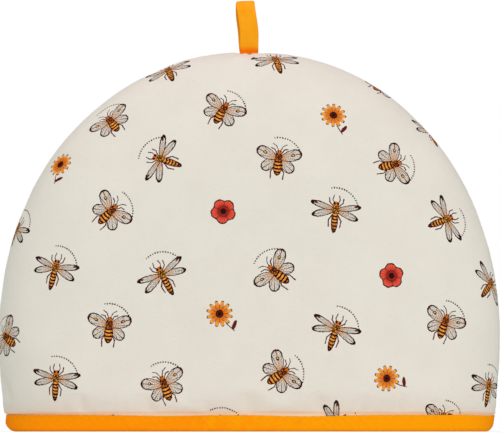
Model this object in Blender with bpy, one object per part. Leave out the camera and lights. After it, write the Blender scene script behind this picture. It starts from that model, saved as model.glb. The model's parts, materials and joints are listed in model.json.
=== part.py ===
"""Padded tea cosy: two domed panels, a bound hem and a hanging loop of folded tape.

The middle of the hem is the origin, +Z is up, the front panel is on the -Y side.
Lengths are in metres.
"""
import functools
import math

import bmesh
import bpy
import numpy
from mathutils import Vector

MM = 0.001

# The dome's outline, seen from the front
HALF_WIDTH = 170.8 * MM        # at the widest place
WIDEST_AT = 59 * MM            # height of the widest place above the hem
DOME_HEIGHT = 258.2 * MM       # hem to the top of the side-to-side seam
DOME_POWER = 2.1               # 2 is an ellipse, more is fuller at the shoulders
HEM_DRAW_IN = 2.9 * MM         # how far each side draws in, down to the hem

# The padded panels
CROWN_DEPTH = 50 * MM          # from the seam to the middle of a panel
CROWN_POWER = 4.0              # how flat a panel is before it turns to the seam
PADDING = 8.5 * MM             # thickness in the middle of a panel
SEAM_PADDING = 6.0 * MM        # thickness at the seam, with its groove
PADDING_RUN = 0.25             # share of the way to the seam over which it thins
GROOVE = 1.5 * MM              # how far the seam sinks between the panels
GROOVE_REACH = 3.5 * MM
SEAM_GAP = 0.15 * MM           # from each panel to the middle of the seam
COLUMNS = 44
HEM_ROWS = 3                   # rows inside the binding
ROWS = 22
COLUMN_EASE = 0.5              # narrower columns at the side seams
ROW_EASE = 0.6                 # narrower rows above the hem and at the seam

# Soft dents, from the panels' own unevenness: place, reach and depth
FRONT_DENTS = (
    {"x": -88 * MM, "z": 205 * MM, "reach": 34 * MM, "depth": 1.2 * MM},
    {"x": -58 * MM, "z": 55 * MM, "reach": 30 * MM, "depth": 1.4 * MM},
    {"x": 30 * MM, "z": 122 * MM, "reach": 40 * MM, "depth": 0.8 * MM},
    {"x": 96 * MM, "z": 150 * MM, "reach": 38 * MM, "depth": 1.1 * MM},
    {"x": 118 * MM, "z": 48 * MM, "reach": 28 * MM, "depth": 1.2 * MM},
)
BACK_DENTS = (
    {"x": -104 * MM, "z": 92 * MM, "reach": 36 * MM, "depth": 1.3 * MM},
    {"x": -18 * MM, "z": 182 * MM, "reach": 44 * MM, "depth": 1.0 * MM},
    {"x": 40 * MM, "z": 66 * MM, "reach": 36 * MM, "depth": 1.0 * MM},
    {"x": 106 * MM, "z": 138 * MM, "reach": 34 * MM, "depth": 1.2 * MM},
)

# The hem binding: a strip of cloth folded over the panels' lower edges
HEM_HEIGHT = 11.4 * MM
BINDING_SET_BACK = 0.7 * MM    # the padding stands this far proud of the binding
BINDING_BULGE = 0.25 * MM
STRIP = 1.0 * MM               # the folded strip's thickness
HEM_PADDING = 3.4 * MM         # a panel's edge, pressed flat in the binding
CLEARANCE = 0.3 * MM
EDGE_CLEARANCE = 0.6 * MM      # under a panel's edge, in the fold of the binding
HEM_ROUNDING = 2.2 * MM        # round lower edges of the binding
REST_FLAT = 2.6 * MM           # width of the flat strip it stands on
SWELL_OUTSIDE = 8 * MM         # height over which the padding swells above the binding
SWELL_INSIDE = 25 * MM
SWELL_START = HEM_HEIGHT + CLEARANCE
CORNER_LIFT = 6.5 * MM         # the hem is drawn up at the side seams
CORNER_REACH = 22 * MM

# The loop: folded tape, its ends sewn into the top of the seam
TAPE_WIDTH = 12.6 * MM
TAPE_THICKNESS = 1.6 * MM
TAPE_ROUNDING = 0.45 * MM
LOOP_HEIGHT = 34.2 * MM        # above the dome
LOOP_HALF_GAP = 5.9 * MM       # from its middle to the tape, at its widest
LOOP_BASE_X = -0.35 * MM
LOOP_LEAN = -2.5 * MM          # at its top
LOOP_TWIST = -0.9 * MM         # sideways set of the back leg, half-way up
TAIL_HALF_GAP = 1.0 * MM       # the two ends lie together in the seam
TAIL_LENGTH = 7.5 * MM         # below the top of the dome
LEG_STEPS = 14
CREST_STEPS = 12

# The opening in the seam that takes the loop's two ends
NOTCH_HALF_WIDTH = 7.0 * MM
NOTCH_RUN = 3.6 * MM
NOTCH_DEPTH = TAIL_HALF_GAP + TAPE_THICKNESS / 2 + CLEARANCE


def smooth(share):
    """A soft step from 0 to 1."""
    share = min(1.0, max(0.0, share))
    return share * share * (3.0 - 2.0 * share)


# ---------------------------------------------------------------- outline

def half_width(height):
    """Half of the outline's width below its widest place."""
    drop = (WIDEST_AT - height) / (WIDEST_AT - HEM_HEIGHT)
    return HALF_WIDTH - HEM_DRAW_IN * smooth(drop)


def outline_table(steps=600):
    """Directions from the middle of the hem, and the distance to the seam in each."""
    points = []
    for step in range(steps + 1):
        height = WIDEST_AT * (2.0 * step / steps - 1.0)
        points.append((half_width(height), height))
    for step in range(1, steps + 1):
        turn = 0.5 * math.pi * step / steps
        across = math.cos(turn) ** (2.0 / DOME_POWER) if step < steps else 0.0
        up = math.sin(turn) ** (2.0 / DOME_POWER)
        points.append((HALF_WIDTH * across, WIDEST_AT + (DOME_HEIGHT - WIDEST_AT) * up))
    angles = [math.atan2(z, x) for x, z in points]
    return angles, [math.hypot(x, z) for x, z in points]


OUTLINE_ANGLES, OUTLINE_RADII = outline_table()


def seam_distance(x, z):
    """Distance from the middle of the hem to the seam, in the direction of (x, z)."""
    return float(numpy.interp(math.atan2(z, abs(x)), OUTLINE_ANGLES, OUTLINE_RADII))


# ---------------------------------------------------------------- crown

def crown_table(steps=400):
    """Shares of the way to the seam, evenly by length, with radius and depth there."""
    turns = [0.5 * math.pi * step / steps for step in range(steps + 1)]
    radii = [math.sin(turn) ** (2.0 / CROWN_POWER) for turn in turns]
    depths = [math.cos(turn) for turn in turns]
    lengths = [0.0]
    for step in range(steps):
        across = (radii[step + 1] - radii[step]) * HALF_WIDTH
        back = (depths[step + 1] - depths[step]) * CROWN_DEPTH
        lengths.append(lengths[-1] + math.hypot(across, back))
    return [length / lengths[-1] for length in lengths], radii, depths


CROWN_SHARES, CROWN_RADII, CROWN_DEPTHS = crown_table()


def skin_level(point):
    """1 on the padded skin, less inside it."""
    radius = math.hypot(point.x, point.z) / seam_distance(point.x, point.z)
    return radius ** CROWN_POWER + (point.y / CROWN_DEPTH) ** 2


def skin_normal(point, probe=0.2 * MM):
    """Outward direction of the padded skin."""
    slopes = []
    for axis in range(3):
        step = Vector((0.0, 0.0, 0.0))
        step[axis] = probe
        slopes.append(skin_level(point + step) - skin_level(point - step))
    return Vector(slopes).normalized()


def skin_point(across, up, side):
    """A point of the padded skin, from its place in the flat half circle."""
    share = min(1.0, math.hypot(across, up))
    radius = numpy.interp(share, CROWN_SHARES, CROWN_RADII)
    depth = numpy.interp(share, CROWN_SHARES, CROWN_DEPTHS) if share < 1.0 else 0.0
    if share < 1e-9:
        return Vector((0.0, side * CROWN_DEPTH, 0.0))
    reach = radius * seam_distance(across, up) / share
    return Vector((across * reach, side * CROWN_DEPTH * depth, up * reach))


def corner_lifted(point):
    """Draws the hem up at the side seams."""
    lift = CORNER_LIFT * (1.0 - smooth(abs(point.y) / CORNER_REACH))
    floor = STRIP + EDGE_CLEARANCE
    hold = min(1.0, max(0.0, (HEM_HEIGHT - point.z) / (HEM_HEIGHT - floor)))
    return Vector((point.x, point.y, point.z + lift * hold))


# ---------------------------------------------------------------- panels

def column_place(share):
    """Where a column stands, from -1 to 1, closer together at the side seams."""
    size = abs(share)
    return math.copysign(size + COLUMN_EASE * math.sin(math.pi * size) / math.pi, share)


def half_circle_place(column, row):
    """Spreads a rectangle over a half circle."""
    across = column * math.sqrt(1.0 - row * row / 2.0)
    up = row * math.sqrt(1.0 - column * column / 2.0)
    return across, up


@functools.cache
def binding_row(column):
    """The row that lies at the top edge of the binding, in one column."""
    low, high = 0.0, 0.5
    for _ in range(30):
        middle = (low + high) / 2.0
        if skin_point(*half_circle_place(column, middle), 1).z < SWELL_START:
            low = middle
        else:
            high = middle
    return high


def row_place(column, share):
    """Where a row lies, from 0 to 1: evenly in the binding, then eased up to the seam."""
    hem_share = HEM_ROWS / ROWS
    first = binding_row(round(column, 6))
    if share <= hem_share:
        return first * share / hem_share
    climb = (share - hem_share) / (1.0 - hem_share)
    eased = climb - ROW_EASE * math.sin(2.0 * math.pi * climb) / (2.0 * math.pi)
    return first + (1.0 - first) * eased


def hem_set_back():
    """How far a panel's pressed edge lies inside the skin."""
    return BINDING_SET_BACK + STRIP + CLEARANCE


def dent(point, dents):
    """How far the panel is pressed in at a point."""
    total = 0.0
    for mark in dents:
        distance = math.hypot(point.x - mark["x"], point.z - mark["z"])
        total += mark["depth"] * math.exp(-(distance / mark["reach"]) ** 2)
    return total


def seam_gap(x, z):
    """From a panel's edge to the middle of the seam, wider where the loop is sewn in."""
    if z < DOME_HEIGHT / 2:
        return SEAM_GAP
    beside = abs(x - LOOP_BASE_X) - NOTCH_HALF_WIDTH
    return SEAM_GAP + (NOTCH_DEPTH - SEAM_GAP) * (1.0 - smooth(beside / NOTCH_RUN))


def panel_point(column, share_up, side, dents, inner):
    """A point of a panel's outer or inner face."""
    across, up = half_circle_place(column, row_place(column, share_up))
    share = math.hypot(across, up)
    skin = skin_point(across, up, side)
    normal = skin_normal(skin)
    above_hem = skin.z - SWELL_START
    press = dent(skin, dents) * smooth(above_hem / SWELL_INSIDE) * smooth((1.0 - share) / 0.2)
    if inner:
        padding = PADDING + (SEAM_PADDING - PADDING) * smooth((share - 1.0) / PADDING_RUN + 1.0)
        pressed = hem_set_back() + HEM_PADDING
        inset = pressed + (padding - pressed) * smooth(above_hem / SWELL_INSIDE) + press
    else:
        groove = GROOVE * math.exp(-(skin.y / GROOVE_REACH) ** 2) * smooth(above_hem / SWELL_OUTSIDE)
        pressed = hem_set_back() * (1.0 - smooth(above_hem / SWELL_OUTSIDE))
        inset = pressed + groove + press
    point = skin - normal * inset
    point.z = max(point.z, 0.0) + (STRIP + EDGE_CLEARANCE) * (1.0 - smooth(skin.z / HEM_HEIGHT))
    gap = seam_gap(point.x, point.z)
    point.y = side * max(abs(point.y), gap)
    return corner_lifted(point)


def notch_columns():
    """Columns that follow the sides of the opening for the loop."""
    top_reach = DOME_HEIGHT * math.sqrt(0.5)
    edges = (NOTCH_HALF_WIDTH, NOTCH_HALF_WIDTH + NOTCH_RUN)
    return [LOOP_BASE_X / top_reach + sign * edge / top_reach for edge in edges for sign in (-1, 1)]


def flat_sheet():
    """A rectangle of columns and rows, ready to be shaped into a panel."""
    sheet = bmesh.new()
    bmesh.ops.create_grid(sheet, x_segments=COLUMNS, y_segments=ROWS, size=1.0)
    for vertex in sheet.verts:
        vertex.co.x = column_place(vertex.co.x)
        vertex.co.y = (vertex.co.y + 1.0) / 2.0
    for place in notch_columns():
        everything = sheet.verts[:] + sheet.edges[:] + sheet.faces[:]
        bmesh.ops.bisect_plane(sheet, geom=everything, dist=1e-6,
                               plane_co=(place, 0.0, 0.0), plane_no=(1.0, 0.0, 0.0))
    return sheet


def column_places():
    """The columns of a panel in order, from the left side seam to the right one."""
    sheet = flat_sheet()
    places = sorted({round(vertex.co.x, 7) for vertex in sheet.verts})
    sheet.free()
    return places


def add_panel(name, side, dents, material):
    """A padded panel: the flat sheet doubled, and each layer shaped."""
    sheet = flat_sheet()
    outer = sheet.verts[:]
    extruded = bmesh.ops.extrude_face_region(sheet, geom=sheet.faces[:], use_keep_orig=True)
    inner = [item for item in extruded["geom"] if isinstance(item, bmesh.types.BMVert)]
    for vertices, is_inner in ((outer, False), (inner, True)):
        for vertex in vertices:
            vertex.co = panel_point(vertex.co.x, vertex.co.y, side, dents, is_inner)
    return add_object(name, sheet, material)


# ---------------------------------------------------------------- binding

def binding_section():
    """The folded strip's cross-section: set-back from the skin, and height."""
    outer = BINDING_SET_BACK
    channel = outer + STRIP
    inner_wall = hem_set_back() + HEM_PADDING + CLEARANCE
    back = inner_wall + STRIP
    middle = (outer + back) / 2.0
    edge = 0.25 * MM
    return [
        (channel, HEM_HEIGHT),
        (outer + edge, HEM_HEIGHT),
        (outer, HEM_HEIGHT - 2.0 * edge),
        (outer - BINDING_BULGE, HEM_HEIGHT / 2.0),
        (outer, HEM_ROUNDING),
        (outer + 0.3 * HEM_ROUNDING, 0.3 * HEM_ROUNDING),
        (middle - REST_FLAT / 2.0, 0.0),
        (middle + REST_FLAT / 2.0, 0.0),
        (back - 0.3 * HEM_ROUNDING, 0.3 * HEM_ROUNDING),
        (back, HEM_ROUNDING),
        (back + BINDING_BULGE, HEM_HEIGHT / 2.0),
        (back, HEM_HEIGHT - 2.0 * edge),
        (back - edge, HEM_HEIGHT),
        (inner_wall, HEM_HEIGHT),
        (inner_wall, STRIP),
        (channel, STRIP),
    ]


def hem_stations():
    """Places on the skin's lowest line, once round, and the outward direction at each."""
    front = [(place, -1) for place in column_places()]
    back = [(place, 1) for place in reversed(column_places())]
    stations = []
    for place, side in front[:-1] + back[:-1]:
        point = skin_point(place, 0.0, side)
        normal = skin_normal(point)
        stations.append((point, Vector((normal.x, normal.y, 0.0)).normalized()))
    return stations


def add_binding(name, material):
    """The binding: its cross-section carried once round the hem."""
    section = binding_section()
    stations = hem_stations()
    ring = bmesh.new()
    bmesh.ops.create_grid(ring, x_segments=len(stations), y_segments=len(section), size=1.0)
    for vertex in ring.verts:
        station = round((vertex.co.x + 1.0) / 2.0 * len(stations)) % len(stations)
        corner = round((vertex.co.y + 1.0) / 2.0 * len(section)) % len(section)
        point, outward = stations[station]
        set_back, height = section[corner]
        place = point - outward * set_back
        vertex.co = corner_lifted(Vector((place.x, place.y, height)))
    bmesh.ops.remove_doubles(ring, verts=ring.verts[:], dist=0.001 * MM)
    return add_object(name, ring, material)


# ---------------------------------------------------------------- loop

def loop_line():
    """The middle line of the tape, from the front end over the top to the back end."""
    crest = DOME_HEIGHT + LOOP_HEIGHT - TAPE_THICKNESS / 2.0 - LOOP_HALF_GAP
    bottom = DOME_HEIGHT - TAIL_LENGTH
    leg = []
    for step in range(LEG_STEPS + 1):
        height = bottom + (crest - bottom) * step / LEG_STEPS
        spread = smooth((height - DOME_HEIGHT) / (crest - DOME_HEIGHT) * 1.15)
        gap = TAIL_HALF_GAP + (LOOP_HALF_GAP - TAIL_HALF_GAP) * spread
        leg.append((gap, height))
    line = [(-gap, height) for gap, height in leg]
    for step in range(1, CREST_STEPS):
        turn = math.pi * step / CREST_STEPS
        line.append((-LOOP_HALF_GAP * math.cos(turn), crest + LOOP_HALF_GAP * math.sin(turn)))
    line += [(gap, height) for gap, height in reversed(leg)]
    return [Vector((loop_lean(y, z), y, z)) for y, z in line]


def loop_lean(y, z):
    """Sideways place of the tape's middle: the loop leans, and its back leg is set over."""
    climb = (z - DOME_HEIGHT) / LOOP_HEIGHT
    lean = LOOP_BASE_X + LOOP_LEAN * smooth((climb - 0.17) / 0.8)
    if y > 0.0:
        lean += LOOP_TWIST * 4.0 * max(0.0, climb) * max(0.0, 1.0 - climb)
    return lean


def tape_section():
    """The tape's cross-section: across its width, and through its thickness."""
    wide = TAPE_WIDTH / 2.0
    thick = TAPE_THICKNESS / 2.0
    edge = TAPE_ROUNDING
    return [(wide - edge, -thick), (wide, edge - thick), (wide, thick - edge), (wide - edge, thick),
            (edge - wide, thick), (-wide, thick - edge), (-wide, edge - thick), (edge - wide, -thick)]


def add_loop(name, material):
    """The loop: the tape's cross-section carried along its line, with flat cut ends."""
    line = loop_line()
    section = tape_section()
    last = len(line) - 1
    tape = bmesh.new()
    bmesh.ops.create_grid(tape, x_segments=last, y_segments=len(section), size=1.0)
    for vertex in tape.verts:
        step = round((vertex.co.x + 1.0) / 2.0 * last)
        corner = round((vertex.co.y + 1.0) / 2.0 * len(section)) % len(section)
        along = line[min(step + 1, last)] - line[max(step - 1, 0)]
        outward = Vector((0.0, -along.z, along.y)).normalized()
        across, through = section[corner]
        vertex.co = line[step] + Vector((across, 0.0, 0.0)) + outward * through
    bmesh.ops.remove_doubles(tape, verts=tape.verts[:], dist=0.001 * MM)
    bmesh.ops.holes_fill(tape, edges=[edge for edge in tape.edges if edge.is_boundary], sides=0)
    return add_object(name, tape, material)


# ---------------------------------------------------------------- objects

def add_object(name, shape, material):
    """Turns a shape's faces outward and puts it in the scene."""
    bmesh.ops.recalc_face_normals(shape, faces=shape.faces[:])
    if shape.calc_volume(signed=True) < 0.0:
        bmesh.ops.reverse_faces(shape, faces=shape.faces[:])
    mesh = bpy.data.meshes.new(name)
    shape.to_mesh(mesh)
    shape.free()
    mesh.shade_smooth()
    mesh.set_sharp_from_angle(angle=math.radians(50.0))
    mesh.materials.append(material)
    piece = bpy.data.objects.new(name, mesh)
    bpy.context.scene.collection.objects.link(piece)
    return piece


def cloth(name, colour, roughness):
    """A plain cloth finish."""
    material = bpy.data.materials.new(name)
    material.use_nodes = True
    shader = material.node_tree.nodes["Principled BSDF"]
    shader.inputs["Base Color"].default_value = (*colour, 1.0)
    shader.inputs["Roughness"].default_value = roughness
    shader.inputs["Metallic"].default_value = 0.0
    material.diffuse_color = (*colour, 1.0)
    return material


def main():
    for item in list(bpy.data.objects):
        bpy.data.objects.remove(item, do_unlink=True)
    add_panel("front_panel", -1, FRONT_DENTS, cloth("front_cotton", (0.76, 0.73, 0.66), 0.85))
    add_panel("back_panel", 1, BACK_DENTS, cloth("back_cotton", (0.76, 0.73, 0.66), 0.85))
    add_binding("hem_binding", cloth("hem_strip", (0.96, 0.29, 0.01), 0.7))
    add_loop("top_loop", cloth("loop_tape", (0.96, 0.34, 0.02), 0.7))


main()
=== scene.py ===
"""Padded tea cosy in printed cotton, with a bound hem and a hanging loop of folded tape.

The middle of the hem is the origin, +Z is up, the front cover is on the -Y side.
Lengths are in metres. Cloth patterns are laid out in millimetres of flat cloth.
"""
import functools
import json
import math

import bmesh
import bpy
import numpy
from mathutils import Color, Matrix, Vector, noise

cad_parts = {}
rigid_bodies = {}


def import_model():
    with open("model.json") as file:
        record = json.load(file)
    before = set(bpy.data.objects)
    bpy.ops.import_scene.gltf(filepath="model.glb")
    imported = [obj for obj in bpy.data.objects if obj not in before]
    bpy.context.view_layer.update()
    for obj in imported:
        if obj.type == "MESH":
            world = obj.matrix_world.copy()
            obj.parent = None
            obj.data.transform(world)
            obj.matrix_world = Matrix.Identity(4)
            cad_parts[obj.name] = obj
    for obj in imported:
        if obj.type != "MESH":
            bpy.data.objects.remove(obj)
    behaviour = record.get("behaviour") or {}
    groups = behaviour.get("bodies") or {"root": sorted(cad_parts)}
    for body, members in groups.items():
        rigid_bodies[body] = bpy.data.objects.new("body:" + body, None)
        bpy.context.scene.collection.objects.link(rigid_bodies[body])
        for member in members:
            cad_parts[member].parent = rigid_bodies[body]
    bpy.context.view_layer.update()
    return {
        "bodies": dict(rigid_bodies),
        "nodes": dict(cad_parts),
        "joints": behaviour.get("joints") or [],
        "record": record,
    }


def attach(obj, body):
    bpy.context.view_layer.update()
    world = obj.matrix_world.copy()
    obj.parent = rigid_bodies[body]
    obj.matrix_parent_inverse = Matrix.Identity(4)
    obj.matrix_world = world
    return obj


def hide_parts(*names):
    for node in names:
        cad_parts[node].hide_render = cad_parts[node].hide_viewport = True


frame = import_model()

MM = 0.001
FRONT, BACK = -1, 1


def marks(*rows):
    """A table of marks, from rows in millimetres: across, up, reach and depth."""
    names = ("x", "z", "reach", "depth")
    return [dict(zip(names, (value * MM for value in row))) for row in rows]


# ---------------------------------------------------------------- sizes

# The camera: far away and just above the floor, as wide as the photograph's frame
FRAME_SPAN = 340.3 * MM
CAMERA_DISTANCE = 8.0
CAMERA_HEIGHT = 0.5 * MM
CAMERA_CLIP = 60.0
SENSOR_WIDTH = 36.0            # in millimetres
AIM = Vector((0.3 * MM, 0.0, 146.35 * MM))    # in the middle of the frame

# The studio: a pale floor, a room that lights softly from all round, and four square lamps
# with their place, size, power and colour
FLOOR_RADIUS = 0.9
WHITE = (1.0, 1.0, 1.0, 1.0)
ROOM_LIGHT = (0.366, 0.424, 0.395, 1.0)
LAMP_TARGET = Vector((0.0, 0.0, 0.12))
LAMPS = {
    "front_lamp": ((0.35, -3.2, 0.9), 2.6, 22.9, (1.0, 0.945, 0.925)),
    "right_lamp": ((1.9, -2.6, 0.9), 1.6, 29.0, (1.0, 1.0, 1.0)),
    "left_lamp": ((-1.4, -0.3, 1.6), 1.2, 10.4, (1.0, 1.0, 1.0)),
    "top_lamp": ((0.1, -0.5, 2.4), 1.6, 15.1, (1.0, 0.48, 0.60)),
}

# The dome's outline, seen from the front
HALF_WIDTH = 170.8 * MM        # at the widest place
WIDEST_AT = 59 * MM            # height of the widest place
DOME_HEIGHT = 258.2 * MM       # up to the top of the side-to-side seam
DOME_POWER = 2.1               # 2 is an ellipse, more is fuller at the shoulders
HEM_DRAW_IN = 2.8 * MM         # how far each side draws in, down to the hem
DEPTH_DRAW_IN = 4.0 * MM       # the same, from front to back
DEPTH_DRAWN_FROM = 30 * MM     # height at which that begins

# Places where the seam is drawn in a little, the last of them under the loop
SEAM_MARKS = marks((-64, 244, 11, 0.9), (-98, 224, 40, 1.1), (118, 209, 16, 0.4), (-0.4, 258, 5.5, 1.1))

# The padded covers
CROWN_DEPTH = 50 * MM          # from the seam to the middle of a cover
CROWN_POWER = 4.0              # how flat a cover is before it turns to the seam
PADDING = 8.5 * MM             # thickness in the middle of a cover
SEAM_PADDING = 6.0 * MM        # thickness at the seam
PADDING_RUN = 0.25             # share of the way to the seam over which it thins
GROOVE = 1.5 * MM              # how far the seam sinks between the covers
GROOVE_REACH = 3.5 * MM
SEAM_GAP = 0.15 * MM           # from a cover's outer edge to the middle of the seam
INNER_GAP = 0.02 * MM          # the same at its inner edge
COLUMNS = 220
ROWS = 120
HEM_ROWS = 7                   # rows inside the binding
COLUMN_EASE = 0.5              # narrower columns at the side seams
ROW_EASE = 0.6                 # narrower rows above the hem and at the seam
CUT_FROM = {FRONT: (0.0, 0.0), BACK: (19.0, 31.0)}    # each cover's place on the printed cloth

# Soft dents, from the covers' own unevenness. The front's last one is a bulge.
FRONT_DENTS = marks((-88, 205, 34, 1.2), (-58, 55, 30, 1.4), (30, 122, 40, 0.8), (96, 150, 38, 1.1),
                    (118, 48, 28, 1.2), (-142, 42, 28, -1.9))
BACK_DENTS = marks((-104, 92, 36, 1.3), (-18, 182, 44, 1.0), (40, 66, 36, 1.0), (106, 138, 34, 1.2))
DENT_RUN = 0.2                 # share of the way in from the seam over which they begin

# The simulation of each cover's cloth, on a grid half as fine as the cover's
CLOTH_FRAMES = 24
CLOTH_SETTINGS = {
    "quality": 6,
    "mass": 0.3,
    "tension_stiffness": 15.0,
    "compression_stiffness": 15.0,
    "shear_stiffness": 5.0,
    "bending_stiffness": 12.0,
    "pin_stiffness": 1.0,
    "shrink_min": -0.006,      # share by which the cloth is fuller than the padding under it
    "shrink_max": 0.0,
}
EASE_REACH = 60 * MM           # how far from the seam and the binding it is fuller
PADDING_HOLD = 0.12            # how firmly the padding holds the cloth, where 1 is sewn down
CLOTH_REACH = 1.6 * MM         # the furthest that a point may move
SEWN_SHARE = 0.995             # share of the way to the seam where the sewing begins

# Puckers along the seam and above the hem, and slow waves over the whole cover
SEAM_PUCKER = {"pitch": 7.5 * MM, "reach": 7 * MM, "depth": 0.34 * MM}
HEM_PUCKER = {"pitch": 9.5 * MM, "reach": 6 * MM, "depth": 0.40 * MM}
PUCKER_WANDER = 2.2            # how far they stray from an even pitch, in radians
PUCKER_LEAST = 0.15            # the faintest of them, as a share of the depth
PUCKER_RISE = 0.3              # how far the cloth rises between them, as such a share
WAVE = {"size": 42 * MM, "height": 0.4 * MM, "seam_run": 0.12}
WAVES_APART = 120 * MM         # so that the two covers' waves differ
RIPPLE = {"size": 11 * MM, "height": 0.07 * MM}
RELIEF_RUN = 2 * MM            # height above the binding over which all of these begin
LOOP_CREASES = {"count": 9, "phase": 0.7, "reach": 9 * MM, "depth": 0.5 * MM}

# The hem binding: a strip of cloth folded over the covers' lower edges
HEM_HEIGHT = 11.4 * MM
BINDING_SET_BACK = 2.25 * MM   # how far the padding stands proud of the binding
BINDING_BULGE = 0.15 * MM
STRIP = 0.75 * MM              # the folded strip's thickness
RELIEF_SHARE = 0.6             # of that thickness, how much takes part in a face's relief
HEM_PADDING = 3.4 * MM         # a cover's edge, pressed flat in the binding
CLEARANCE = 0.15 * MM
EDGE_CLEARANCE = 0.6 * MM      # under a cover's edge, in the fold of the binding
HEM_ROUNDING = 2.2 * MM        # round lower edges of the binding
REST_FLAT = 2.6 * MM           # width of the flat strip it stands on
SWELL_OUTSIDE = 12 * MM        # height over which the padding swells above the binding
SWELL_AT_SEAM = 8 * MM         # the same at the side seams
SWELL_EVENS_OUT = 0.7 * CROWN_DEPTH    # how far from the seam it becomes even
SWELL_INSIDE = 25 * MM
SWELL_START = HEM_HEIGHT + CLEARANCE
# The hem's left and right ends, from the front: radius of the lower corner, how far the
# binding's top edge is set out, and how far it slopes in from there down to the floor
HEM_ENDS = {
    -1: {"radius": 3.9 * MM, "out": 0.0, "slope": 0.0},
    1: {"radius": 2.6 * MM, "out": 1.25 * MM, "slope": 1.65 * MM},
}
END_REACH = 9 * MM
END_FADE = 3 * MM
CORNER_SOFTNESS = 0.8 * MM
HEM_STITCHES = 132             # once round
STATIONS_PER_STITCH = 6
HEM_STITCH_HEIGHT = 9.0 * MM
STITCH_SINK = 0.42 * MM        # how deep the thread pulls into the binding
STITCH_SINK_REACH = 0.8 * MM
HEM_PULL = 0.45                # how much of that is left between the holes
TAPE_PULL = 0.5                # the same on the tape
EDGE_WAVE = 0.14 * MM          # how far each stitch draws the top edge down
EDGE_DRAWN_FROM = 0.3 * HEM_HEIGHT    # height above which the strip's faces follow that edge
EDGE_DRAWN_RUN = 0.6 * HEM_HEIGHT
# Slow dips of the binding's top edge: share of the way round, reach as a share, and depth
EDGE_DIPS = ((0.172, 0.046, 0.8 * MM), (0.299, 0.045, 1.1 * MM), (0.483, 0.020, 0.6 * MM),
             (0.600, 0.040, 0.7 * MM), (0.810, 0.060, 1.0 * MM), (0.930, 0.030, 0.5 * MM))
# Slanting drag lines, the folds at the two ends, and the place where the strip's ends overlap
DRAG = {"pitch": 6 * MM, "height": 0.05 * MM, "slant": 0.9, "wander": 30 * MM, "patch": 45 * MM}
CORNER_FOLD = {"pitch": 4.2 * MM, "height": 0.35 * MM, "reach": 15 * MM}
JOIN = {"at": 0.62, "step": 0.45 * MM, "run": 1.2 * MM, "length": 9 * MM}

# The loop: a strip folded lengthwise and sewn along its open edge
TAPE_WIDTH = 12.6 * MM
TAPE_THICKNESS = 1.6 * MM
TAPE_LAYER_GAP = 0.12 * MM
LOOP_HEIGHT = 35.1 * MM        # above the dome
LOOP_HALF_GAP = 5.9 * MM       # from its middle to the tape, at its widest
LOOP_BASE_X = -0.35 * MM
LOOP_LEAN = -2.6 * MM          # at its top
LOOP_LEAN_FROM = 0.30          # share of its height where it begins to lean
LOOP_LEAN_RUN = 0.75
LOOP_TWIST = -1.5 * MM         # how far the back leg is set over
LOOP_SHIFT = 0.2 * MM          # how far both legs are, half-way up
LEG_BEND = 0.90                # share of a leg's height over which it leaves the seam
CREST_TILT = 0.25 * MM
CREST_ROUNDING = 0.8 * MM
TAIL_HALF_GAP = 1.0 * MM       # the two ends lie together in the seam
TAIL_LENGTH = 7.5 * MM         # below the top of the dome
LEG_STEPS = 60
CREST_STEPS = 34
TAPE_STITCH_INSET = 2.9 * MM
TAPE_STITCH_PITCH = 2.7 * MM
TAPE_STITCH_SINK = 0.22 * MM
TAPE_CREASE = {"height": 0.10 * MM, "length": 6 * MM, "width": 12 * MM}
TAPE_CROWN = {"height": 0.10 * MM, "at": 2.0 * MM, "reach": 4.0 * MM}
TAPE_WAVER = {"width": 0.18 * MM, "length": 11 * MM}
NOTCH_HALF_WIDTH = 6.6 * MM    # the opening in the seam that takes the loop's two ends
NOTCH_RUN = 3.0 * MM
NOTCH_DEPTH = TAIL_HALF_GAP + TAPE_THICKNESS / 2 + CLEARANCE

# The sewing thread
THREAD = 0.22 * MM             # half of its thickness
THREAD_SHARE = 0.60            # of each stitch's pitch that shows as thread
THREAD_SUNK = 0.3 * THREAD     # how far a stitch's middle lies under the face it is sewn on
STITCH_PROUD = 0.1 * MM        # how much less deep the binding's stitches lie


def smooth(share):
    """A soft step from 0 to 1."""
    share = min(1.0, max(0.0, share))
    return share * share * (3.0 - 2.0 * share)


def bell(distance, reach):
    """1 in the middle, fading out at about the reach."""
    return math.exp(-(distance / reach) ** 2)


# ---------------------------------------------------------------- pieces

def new_object(name, data):
    """A new object in the scene."""
    thing = bpy.data.objects.new(name, data)
    bpy.context.scene.collection.objects.link(thing)
    return thing


def new_mesh(name, shape, materials=()):
    """Writes a shape down as a mesh with its finishes."""
    mesh = bpy.data.meshes.new(name)
    shape.to_mesh(mesh)
    shape.free()
    for material in materials:
        mesh.materials.append(material)
    return mesh


def add_piece(name, shape, materials):
    """Turns a shape's faces outward and puts it in the scene, as a part of the cosy."""
    bmesh.ops.recalc_face_normals(shape, faces=shape.faces[:])
    if shape.calc_volume(signed=True) < 0.0:
        bmesh.ops.reverse_faces(shape, faces=shape.faces[:])
    mesh = new_mesh(name, shape, materials)
    mesh.shade_smooth()
    piece = new_object(name, mesh)
    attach(piece, "root")
    return piece


def flat_grid(columns, rows):
    """A flat grid from -1 to 1 both ways, and the column and row of each of its points."""
    grid = bmesh.new()
    bmesh.ops.create_grid(grid, x_segments=columns, y_segments=rows, size=1.0)
    places = {}
    for vertex in grid.verts:
        column = round((vertex.co.x + 1.0) / 2.0 * columns)
        places[vertex] = (column, round((vertex.co.y + 1.0) / 2.0 * rows))
    return grid, places


# ---------------------------------------------------------------- camera, light and floor

def facing(place, target):
    """The turn of a camera or a lamp that looks from a place to a target."""
    return (target - Vector(place)).to_track_quat("-Z", "Y").to_euler()


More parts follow.
